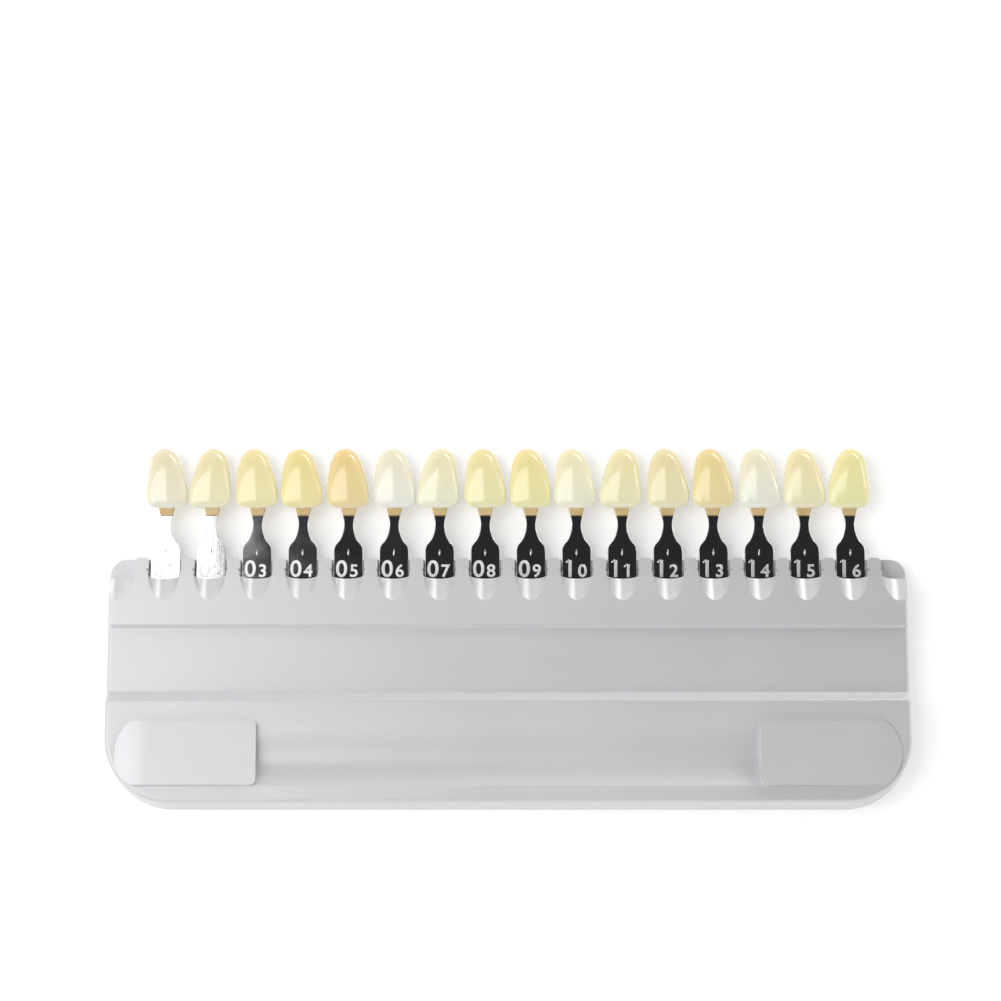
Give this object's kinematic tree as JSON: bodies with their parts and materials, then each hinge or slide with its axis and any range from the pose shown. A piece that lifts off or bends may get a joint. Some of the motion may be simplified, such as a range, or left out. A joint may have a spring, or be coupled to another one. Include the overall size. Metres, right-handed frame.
{
  "type": "dental shade guide",
  "caption": "Dental shade guide: tooth-coloured samples on steel tabs, held in a row in a slotted grey holder with a finger trough and thumb pads; each tab pulls out.",
  "frame": {"origin": "middle of the holder's flat back face, on which the guide lies", "axes": "+X along the row from the first to the last sample, +Y from the grip up to the teeth, +Z out of the front"},
  "size_m": [0.2, 0.0916, 0.0118],
  "materials": {
    "holder": "silver-grey satin moulding",
    "steel": "polished stamped strip",
    "stem_resin": "tan resin",
    "shade_01": "translucent glossy tooth resin",
    "shade_02": "translucent glossy tooth resin",
    "shade_03": "translucent glossy tooth resin",
    "shade_04": "translucent glossy tooth resin",
    "shade_05": "translucent glossy tooth resin",
    "shade_06": "translucent glossy tooth resin",
    "shade_07": "translucent glossy tooth resin",
    "shade_08": "translucent glossy tooth resin",
    "shade_09": "translucent glossy tooth resin",
    "shade_10": "translucent glossy tooth resin",
    "shade_11": "translucent glossy tooth resin",
    "shade_12": "translucent glossy tooth resin",
    "shade_13": "translucent glossy tooth resin",
    "shade_14": "translucent glossy tooth resin",
    "shade_15": "translucent glossy tooth resin",
    "shade_16": "translucent glossy tooth resin"
  },
  "bodies": {
    "holder": {"holder_front": "holder", "holder_back": "holder"},
    "shade_01": {"tab_01": "steel", "stem_01": "stem_resin", "tooth_01": "shade_01"},
    "shade_02": {"tab_02": "steel", "stem_02": "stem_resin", "tooth_02": "shade_02"},
    "shade_03": {"tab_03": "steel", "stem_03": "stem_resin", "tooth_03": "shade_03"},
    "shade_04": {"tab_04": "steel", "stem_04": "stem_resin", "tooth_04": "shade_04"},
    "shade_05": {"tab_05": "steel", "stem_05": "stem_resin", "tooth_05": "shade_05"},
    "shade_06": {"tab_06": "steel", "stem_06": "stem_resin", "tooth_06": "shade_06"},
    "shade_07": {"tab_07": "steel", "stem_07": "stem_resin", "tooth_07": "shade_07"},
    "shade_08": {"tab_08": "steel", "stem_08": "stem_resin", "tooth_08": "shade_08"},
    "shade_09": {"tab_09": "steel", "stem_09": "stem_resin", "tooth_09": "shade_09"},
    "shade_10": {"tab_10": "steel", "stem_10": "stem_resin", "tooth_10": "shade_10"},
    "shade_11": {"tab_11": "steel", "stem_11": "stem_resin", "tooth_11": "shade_11"},
    "shade_12": {"tab_12": "steel", "stem_12": "stem_resin", "tooth_12": "shade_12"},
    "shade_13": {"tab_13": "steel", "stem_13": "stem_resin", "tooth_13": "shade_13"},
    "shade_14": {"tab_14": "steel", "stem_14": "stem_resin", "tooth_14": "shade_14"},
    "shade_15": {"tab_15": "steel", "stem_15": "stem_resin", "tooth_15": "shade_15"},
    "shade_16": {"tab_16": "steel", "stem_16": "stem_resin", "tooth_16": "shade_16"}
  },
  "joints": [
    {"name": "pull_01", "type": "slide", "parent": "holder", "child": "shade_01", "axis": [0, 1, 0], "range_m": [0, 0.022]},
    {"name": "pull_02", "type": "slide", "parent": "holder", "child": "shade_02", "axis": [0, 1, 0], "range_m": [0, 0.022]},
    {"name": "pull_03", "type": "slide", "parent": "holder", "child": "shade_03", "axis": [0, 1, 0], "range_m": [0, 0.022]},
    {"name": "pull_04", "type": "slide", "parent": "holder", "child": "shade_04", "axis": [0, 1, 0], "range_m": [0, 0.022]},
    {"name": "pull_05", "type": "slide", "parent": "holder", "child": "shade_05", "axis": [0, 1, 0], "range_m": [0, 0.022]},
    {"name": "pull_06", "type": "slide", "parent": "holder", "child": "shade_06", "axis": [0, 1, 0], "range_m": [0, 0.022]},
    {"name": "pull_07", "type": "slide", "parent": "holder", "child": "shade_07", "axis": [0, 1, 0], "range_m": [0, 0.022]},
    {"name": "pull_08", "type": "slide", "parent": "holder", "child": "shade_08", "axis": [0, 1, 0], "range_m": [0, 0.022]},
    {"name": "pull_09", "type": "slide", "parent": "holder", "child": "shade_09", "axis": [0, 1, 0], "range_m": [0, 0.022]},
    {"name": "pull_10", "type": "slide", "parent": "holder", "child": "shade_10", "axis": [0, 1, 0], "range_m": [0, 0.022]},
    {"name": "pull_11", "type": "slide", "parent": "holder", "child": "shade_11", "axis": [0, 1, 0], "range_m": [0, 0.022]},
    {"name": "pull_12", "type": "slide", "parent": "holder", "child": "shade_12", "axis": [0, 1, 0], "range_m": [0, 0.022]},
    {"name": "pull_13", "type": "slide", "parent": "holder", "child": "shade_13", "axis": [0, 1, 0], "range_m": [0, 0.022]},
    {"name": "pull_14", "type": "slide", "parent": "holder", "child": "shade_14", "axis": [0, 1, 0], "range_m": [0, 0.022]},
    {"name": "pull_15", "type": "slide", "parent": "holder", "child": "shade_15", "axis": [0, 1, 0], "range_m": [0, 0.022]},
    {"name": "pull_16", "type": "slide", "parent": "holder", "child": "shade_16", "axis": [0, 1, 0], "range_m": [0, 0.022]}
  ]
}
